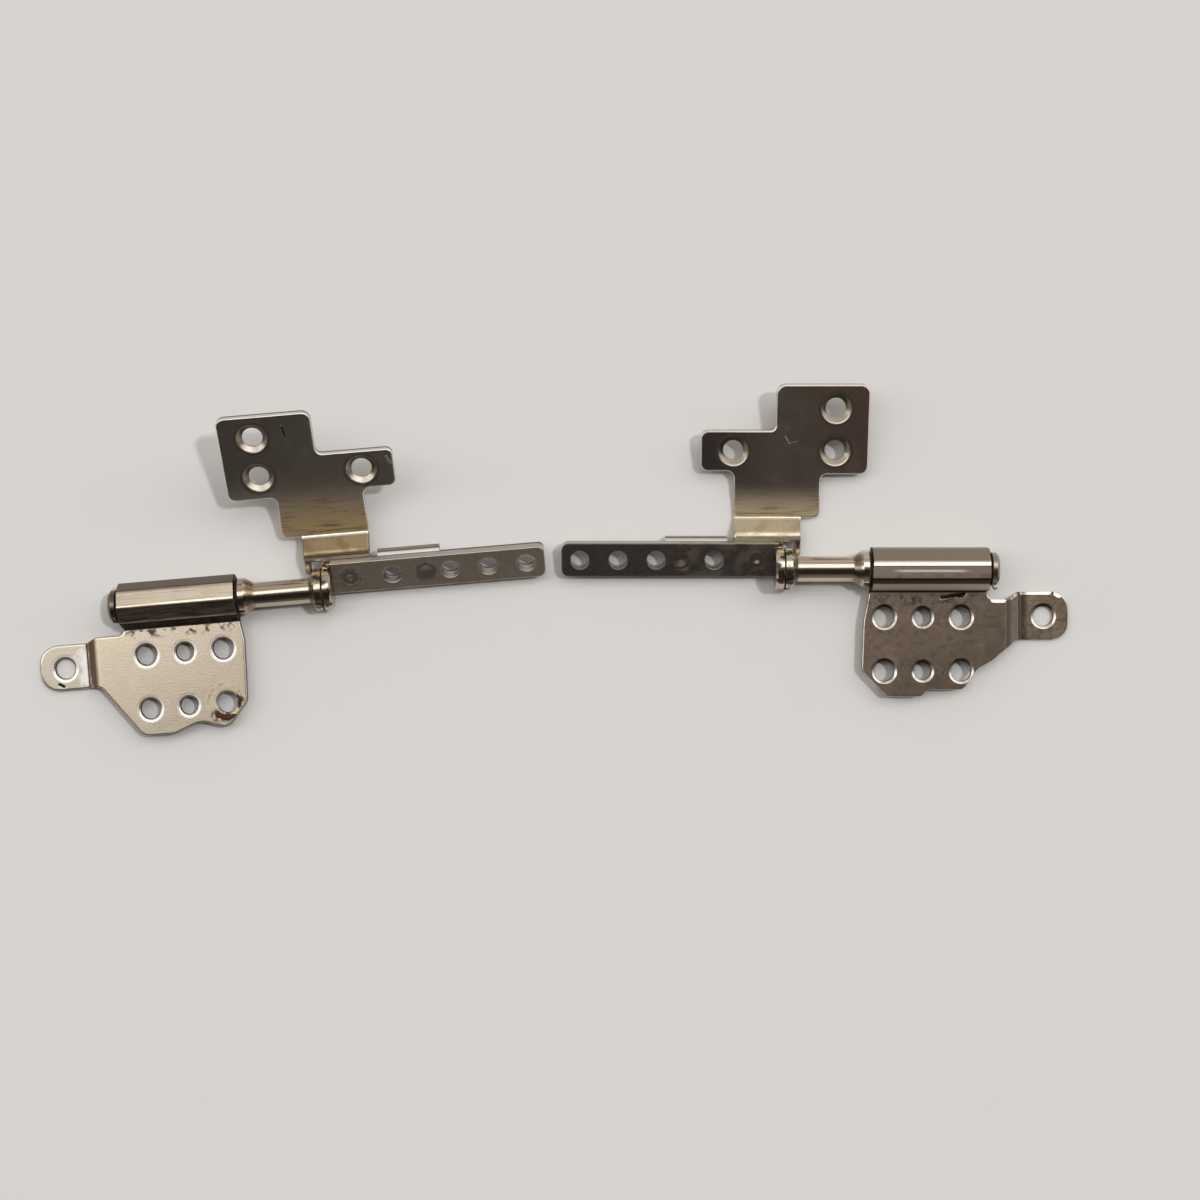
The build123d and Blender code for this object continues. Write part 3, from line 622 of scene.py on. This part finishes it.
def shaft_finish(hand):
    """Turned nickel plating that gives way to a mottled, pressed arm."""
    finish = Finish(f"{hand}_shaft_plating", hand, "leaf", *TURNED[hand], 0.07, 0.12)
    tree, out, up = finish.tree, finish.out, finish.up
    rings = noise(tree, stretch(tree, finish.measures, (9.0, 0.3, 0.3)), 1.0, detail=2.0)
    finish.lay(rings, height=0.003)
    arm = soft_step(tree, out, ARM_START, ARM_START - 0.25)
    finish.lay(arm, colour=ARM_TINTS[hand], roughness=0.38)
    smeared = both(tree, arm, finish.patches(0.55, 0.46, 0.66, detail=6.0))
    finish.lay(smeared, colour=ARM_SMEARS[hand], roughness=0.48)
    finish.lay(both(tree, arm, finish.patches(2.2, 0.5, 0.7)), height=-0.012)
    pressed = band(tree, nearest(tree, finish.measures, RIVETS), 1.25, 1.55, 0.2)
    broken_rings = both(tree, arm, pressed, finish.patches(0.8, 0.36, 0.6))
    finish.lay(broken_rings, colour=RIVET_RINGS[hand], roughness=0.5, height=-0.03)
    arm_edge = both(tree, arm, soft_step(tree, up, ARM_FRONT - 0.03, ARM_FRONT - 0.12))
    finish.lay(arm_edge, colour=(0.50, 0.475, 0.44), roughness=0.34)
    # Painted shade low on the arm's sides, where they meet the sheet behind.
    rim = soft_step(tree, calc(tree, "ABSOLUTE", calc(tree, "SUBTRACT", finish.away, ARM_MIDDLE)), 2.0, 2.2)
    shaded_arm_sides = both(tree, arm, rim, soft_step(tree, up, ARM_FRONT - 1.1, ARM_FRONT - 1.2))
    finish.lay(shaded_arm_sides, colour=(0.12, 0.10, 0.09), roughness=0.5)
    # Painted shade on the cone by the collar.
    finish.lay(band(tree, out, -2.6, -1.5, 0.3), colour=(0.27, 0.20, 0.14), roughness=0.25)
    discs = band(tree, out, -13.7, -10.9, 0.05)
    finish.lay(both(tree, discs, finish.patches(0.9, 0.48, 0.60)), colour=(0.085, 0.066, 0.052), roughness=0.4)
    # Painted shade in the gap between the discs and at the flange's foot.
    finish.lay(band(tree, out, -12.42, -12.18, 0.03), colour=GRIME_AND_SHADE, roughness=0.7, metal=0.0)
    finish.lay(band(tree, out, -11.0, -10.4, 0.2), colour=(0.17, 0.125, 0.09), roughness=0.35)
    nose = soft_step(tree, out, KNUCKLE_END + 0.1, KNUCKLE_END + 0.4)
    finish.lay(nose, colour=NOSE_TINTS[hand], roughness=0.28)
    # Painted shade in the gaps beside both ends of the knuckle.
    for gap in ((-0.36, 0.6), (KNUCKLE_END - 0.4, KNUCKLE_END + 0.46)):
        finish.lay(band(tree, out, *gap, 0.04), colour=GRIME_AND_SHADE, roughness=0.8, metal=0.0)
    return finish


shaft_finishes = {hand: shaft_finish(hand) for hand in SIDES}
highlight_and_rubbing = shaft_finishes["right"]
near_flange = band(highlight_and_rubbing.tree, highlight_and_rubbing.out, -28.0, -14.5, 2.0)
smudged = both(highlight_and_rubbing.tree, near_flange, highlight_and_rubbing.patches(0.5, 0.42, 0.62, detail=6.0))
highlight_and_rubbing.lay(smudged, colour=(0.36, 0.315, 0.28), roughness=0.42)
for hand in SIDES:
    dress(f"{hand}_hinge_shaft", shaft_finishes[hand])

# %% [markdown]
# The lid brackets lean towards the dark side of the room, so their plates look nearly black. Towards
# the step the plating is painted gold, a painted reflection, and it is left a little rougher there.
# The countersinks get painted shade on the side away from the knuckle and a painted shadow around them.

# %% Lid brackets
LID_TINTS = {"left": ((0.56, 0.525, 0.49), (0.62, 0.575, 0.53)),
             "right": ((0.68, 0.56, 0.48), (0.75, 0.64, 0.55))}
LID_FRONT = -4.7
SHEET_FRONT = -1.9
STRIP_START = 4.3
STRIP_END = 6.3
STRIP_SIDE = -19.7
GOLD_REFLECTION = {"left": (0.63, 0.465, 0.235), "right": (0.56, 0.465, 0.28)}
GOLD_END = {"left": 17.5, "right": 12.5}
STRIP_REFLECTION_TINTS = {"left": (0.31, 0.24, 0.14), "right": (0.68, 0.58, 0.42)}
STRIP_STAINS = {"left": (0.235, 0.17, 0.09), "right": (0.56, 0.46, 0.31)}
LIP_TINT = (0.62, 0.59, 0.545)
WARM_CORNERS = {"left": (0.56, 0.52, 0.48), "right": (0.68, 0.515, 0.42)}
WING_TINTS = {"left": (0.54, 0.50, 0.46), "right": (0.40, 0.35, 0.32)}
LID_METAL = {"left": 0.99, "right": 0.965}
METAL_START = {"left": (10.0, 17.0), "right": (8.0, 13.0)}
SINK_RADIUS = 2.2
SHADED_BACK = (0.16, 0.14, 0.125)


def lid_finish(hand):
    """Dark mirror plating with a painted gold reflection at the bend, painted highlights on the edges and
    painted shade in the countersinks and on the back.
    """
    finish = Finish(f"{hand}_lid_plating", hand, "leaf", *LID_TINTS[hand], 0.18, 0.28)
    tree, out, away, up = finish.tree, finish.out, finish.away, finish.up
    on_strip = soft_step(tree, out, STRIP_SIDE - 0.1, STRIP_SIDE + 0.1)
    lines = noise(tree, stretch(tree, finish.measures, (0.25, 2.5, 2.5)), 1.0, detail=4.0)
    # Painted reflection: the plating turns gold towards the step.
    fading = soft_step(tree, away, GOLD_END[hand], STRIP_END + 0.3)
    gold_reflection = both(tree, on_strip, fading, soft_step(tree, away, 3.4, 4.2))
    finish.lay(gold_reflection, colour=GOLD_REFLECTION[hand], roughness=0.38, metal=0.62)
    finish.lay(both(tree, gold_reflection, soft_step(tree, lines, 0.45, 0.7)), colour=(0.30, 0.22, 0.12), roughness=0.42)
    # Painted reflection: the strip's tone, darker on the left and paler on the right.
    strip = both(tree, on_strip, band(tree, away, STRIP_START, STRIP_END, 0.1))
    finish.lay(strip, colour=STRIP_REFLECTION_TINTS[hand], roughness=0.34, metal=1.0)
    finish.lay(both(tree, strip, finish.patches(0.4, 0.46, 0.62)), colour=STRIP_STAINS[hand], roughness=0.42)
    past_strip = soft_step(tree, out, STRIP_SIDE - 0.1, STRIP_SIDE - 0.3)
    lip = both(tree, past_strip, soft_step(tree, away, 8.0, 7.0))
    finish.lay(lip, colour=LIP_TINT, roughness=0.4, metal=0.45)
    warm = both(tree, soft_step(tree, out, -13.0, -3.0), soft_step(tree, away, 11.0, 15.0))
    finish.lay(warm, colour=WARM_CORNERS[hand])
    wing = both(tree, soft_step(tree, out, -13.0, -22.0), soft_step(tree, away, 9.0, 14.0))
    finish.lay(wing, colour=WING_TINTS[hand])
    finish.lay(soft_step(tree, away, *METAL_START[hand]), metal=LID_METAL[hand])
    # Painted highlight along both folds of the strip.
    for fold in (STRIP_START - 0.1, STRIP_END + 0.05):
        crease_highlight = both(tree, on_strip, band(tree, away, fold - 0.12, fold + 0.12, 0.1))
        finish.lay(crease_highlight, colour=PAINTED_HIGHLIGHT, roughness=0.22, metal=1.0)
    finish.front = soft_step(tree, up, LID_FRONT - 0.85, LID_FRONT - 0.75)
    gap = nearest(tree, finish.measures, lid_holes[hand])
    sinks = soft_step(tree, gap, SINK_RADIUS + 0.1, SINK_RADIUS - 0.15)
    # Painted shadow in a ring around each countersink.
    sink_shadow = band(tree, gap, SINK_RADIUS, SINK_RADIUS + 0.35, 0.2)
    finish.mark(sink_shadow, colour=(0.26, 0.225, 0.195), roughness=0.36)
    finish.mark(sinks, colour=(0.58, 0.52, 0.44), roughness=0.34)
    # Painted shade in each countersink on the side away from the knuckle.
    shaded_sink_side = nearest(tree, finish.measures, [(x - 0.3, y + 0.9) for x, y in lid_holes[hand]])
    finish.mark(both(tree, sinks, soft_step(tree, shaded_sink_side, 2.3, 1.6)), colour=(0.12, 0.092, 0.07), roughness=0.45)
    finish.lay(finish.patches(0.22, 0.5, 0.75, detail=6.0), roughness=0.3)
    past_step = soft_step(tree, away, 8.0, 9.0)
    plate = both(tree, past_step, soft_step(tree, gap, SINK_RADIUS + 0.1, SINK_RADIUS + 0.2))
    # Painted highlight along the plate's top edges.
    highlit_top_edge = both(tree, plate, soft_step(tree, up, LID_FRONT - 0.02, LID_FRONT - 0.08))
    finish.lay(highlit_top_edge, colour=(0.80, 0.785, 0.76), roughness=0.3)
    # Painted shade on the lower edges of the plate, on the back of the sheet and behind the arm.
    shaded_low_edge = both(tree, plate, soft_step(tree, up, LID_FRONT - 0.52, LID_FRONT - 0.64))
    finish.lay(shaded_low_edge, colour=SHADED_BACK, roughness=0.4)
    on_back = soft_step(tree, up, LID_FRONT - 0.86, LID_FRONT - 0.89)
    finish.lay(both(tree, past_step, on_back), colour=SHADED_BACK, roughness=0.4)
    behind_arm = soft_step(tree, up, SHEET_FRONT - 0.45, SHEET_FRONT - 0.55)
    finish.lay(both(tree, soft_step(tree, away, 4.1, 3.9), behind_arm), colour=SHADED_BACK)
    return finish


lid_finishes = {hand: lid_finish(hand) for hand in SIDES}
left, right = lid_finishes["left"], lid_finishes["right"]
SCUFF = (0.72, 0.66, 0.58)
dark_scratch = stroke(left.tree, left.measures, (-9.43, 23.94), (-9.7, 22.06), 0.2)
left.mark(dark_scratch, colour=GRIME_AND_SHADE, height=-0.04)
wing_scuff = stroke(left.tree, left.measures, (-23.05, 17.98), (-23.83, 16.34), 0.3)
left.mark(wing_scuff, colour=SCUFF, roughness=0.45, height=-0.03)
pale_scratch = stroke(right.tree, right.measures, (-12.3, 18.3), (-11.5, 17.1), 0.16)
right.mark(pale_scratch, colour=SCUFF, roughness=0.45, height=-0.02)
crossing = stroke(right.tree, right.measures, (-11.9, 17.2), (-10.4, 17.5), 0.12)
right.mark(crossing, colour=GRIME_AND_SHADE, roughness=0.4, height=-0.02)
for hand in SIDES:
    dress(f"{hand}_lid_bracket", lid_finishes[hand])

# %% [markdown]
# The rivets are plain steel, set with a punch, and duller than the plating around them.

# %% Rivets
RIVET_TINTS = {"left": (0.30, 0.265, 0.235), "right": (0.20, 0.17, 0.15)}
for hand in SIDES:
    for rivet in ("inner_rivet", "outer_rivet"):
        tint = RIVET_TINTS[hand]
        dress(f"{hand}_{rivet}", Finish(f"{hand}_{rivet}_steel", hand, "leaf", tint, tint, 0.4, 0.5))

# %% [markdown]
# Two small things are not part of the stamping but belong to this worn pair: a crust of rust along the
# lower edge of one hole, and a sliver of metal that curls off the right shaft's peened nose. Both are
# short rods that taper to a point at each end, bent along a curve and made lumpy by a few sine waves.

# %% A tapered rod
AROUND = 16


def tapered_rod(name, hand, part, path, across, high, lumps):
    """A closed rod along a path, in a hinge's millimetres.

    Ring i lies around path point i. At angle a it reaches across[i] * cos(a) sideways and
    high[i] * sin(a) upwards, times 1 + lumps * sin(5 a + 1.7 i) * cos(2.3 i). A point closes each end.
    """
    path = np.asarray(path, float)
    step = np.arange(len(path))[:, None]
    turn = np.linspace(0, 2 * np.pi, AROUND, False)
    ahead = np.gradient(path, axis=0)
    side = np.cross(ahead, (0.0, 0.0, 1.0))
    side /= np.linalg.norm(side, axis=1, keepdims=True)
    reach = 1 + lumps * np.sin(5 * turn + 1.7 * step) * np.cos(2.3 * step)
    rings = path[:, None, :] + (across[:, None] * reach * np.cos(turn))[:, :, None] * side[:, None, :]
    rings[:, :, 2] += high[:, None] * reach * np.sin(turn)
    rings = rings[1:-1]
    points = np.concatenate([rings.reshape(-1, 3), path[[0, -1]]])
    here = np.arange(len(rings) * AROUND).reshape(len(rings), AROUND)
    beside = np.roll(here, -1, axis=1)
    quads = np.stack([here[:-1], beside[:-1], beside[1:], here[1:]], axis=-1).reshape(-1, 4)
    first, last = here.size, here.size + 1
    start = np.stack([np.full(AROUND, first), beside[0], here[0]], axis=-1)
    end = np.stack([np.full(AROUND, last), here[-1], beside[-1]], axis=-1)
    faces = [face[::-SIDES[hand]] for face in quads.tolist() + start.tolist() + end.tolist()]
    mesh = bpy.data.meshes.new(name)
    mesh.from_pydata(to_pair(hand, part, points).tolist(), [], faces)
    mesh.shade_smooth()
    piece = bpy.data.objects.new(name, mesh)
    bpy.context.scene.collection.objects.link(piece)
    return piece


print("rod of", AROUND, "points around")

# %% [markdown]
# Rust grows where water stood: at the foot of the hole and beside it. It is matt, dark red-brown and
# sits on the plate, half sunk into it.

# %% Rust crust
FOOT_RADIUS, FOOT_FROM, FOOT_TO = 2.1, math.radians(236), math.radians(330)
SIDE_RADIUS, SIDE_FROM, SIDE_TO = 1.8, math.radians(148), math.radians(214)
CRUST_HALF_WIDTH, CRUST_HEIGHT = 0.36, 0.2
CRUST_STEPS = 25


def crust(name, radius, start, end, half_width, high):
    """Lumpy rust along a circle around the rusted hole, from one angle to another."""
    turn = np.linspace(start, end, CRUST_STEPS)
    taper = np.sqrt(np.sin(np.linspace(0, np.pi, CRUST_STEPS)))
    centre = base_holes["left"][0]
    path = np.stack([centre[0] + radius * np.cos(turn), centre[1] + radius * np.sin(turn),
                     np.full(CRUST_STEPS, PLATE_TOP)], axis=-1)
    piece = tapered_rod(name, "left", "base", path, half_width * taper, high * taper, 0.5)
    finish = Finish(name, "left", "base", (0.030, 0.013, 0.008), (0.105, 0.042, 0.022), 0.7, 0.9)
    finish.metal = 0.0
    finish.lay(finish.patches(2.5, 0.4, 0.6), height=0.05)
    piece.data.materials.append(finish.done())
    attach(piece, "base_brackets")
    return piece


crust("rust_below_hole", FOOT_RADIUS, FOOT_FROM, FOOT_TO, CRUST_HALF_WIDTH, CRUST_HEIGHT)
crust("rust_beside_hole", SIDE_RADIUS, SIDE_FROM, SIDE_TO, 0.55 * CRUST_HALF_WIDTH, 0.7 * CRUST_HEIGHT)
print("rust around the hole at", base_holes["left"][0])

# %% [markdown]
# Peening spread the nose of the right shaft, and a sliver came loose at its rim. It is bare, dark
# steel and turns with the shaft.

# %% Loose sliver
SLIVER_STEPS = 15
SLIVER_THICKNESS = 0.11

bend = np.linspace(0, 1, SLIVER_STEPS)
curl = -1.95 - 0.75 * np.sin(0.75 * np.pi * bend)
sliver_path = np.stack([16.95 + 0.95 * bend, curl, 1.1 - 0.5 * bend], axis=-1)
sliver_taper = SLIVER_THICKNESS * np.sqrt(np.sin(np.pi * bend))
sliver = tapered_rod("nose_sliver", "right", "leaf", sliver_path, sliver_taper, sliver_taper, 0.15)
sliver_steel = Finish("sliver_steel", "right", "leaf", (0.10, 0.085, 0.07), (0.16, 0.14, 0.12), 0.4, 0.5)
sliver.data.materials.append(sliver_steel.done())
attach(sliver, "right_lid_leaf")
print("sliver on the right nose")
